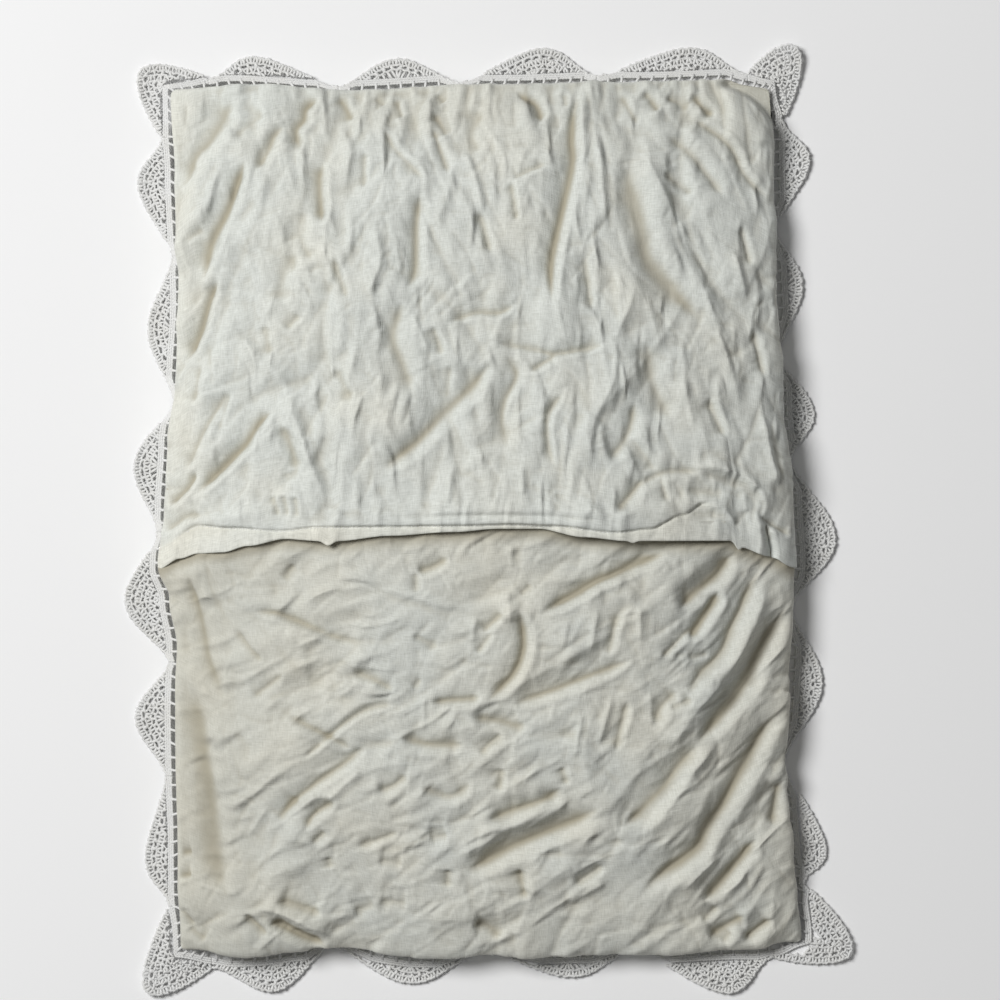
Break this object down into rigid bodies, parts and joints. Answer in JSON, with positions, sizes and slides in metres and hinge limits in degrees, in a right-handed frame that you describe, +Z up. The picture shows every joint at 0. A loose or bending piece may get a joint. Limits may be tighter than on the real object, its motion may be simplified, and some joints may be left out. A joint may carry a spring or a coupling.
{
  "type": "pillow sham",
  "caption": "Filled rectangular pillow sham lying face down, its envelope back showing an overlapping hemmed flap, with a scalloped crochet edging sewn into the seam all round",
  "frame": {"origin": "middle of the underside of the whole outline, crochet edging included, on the surface it lies on", "axes": "+X to the right across the sham, +Y to its head along its length, +Z up out of its back"},
  "size_m": [0.5704, 0.746, 0.0817],
  "materials": {
    "ivory_linen": "crumpled ivory plain weave with slubs, matte",
    "crochet_cotton": "white mercerised cotton crochet thread, soft sheen"
  },
  "bodies": {
    "root": {"filled_front_panel": "ivory_linen", "lower_back_panel": "ivory_linen", "upper_back_panel": "ivory_linen", "crochet_edging": "crochet_cotton"}
  },
  "joints": []
}
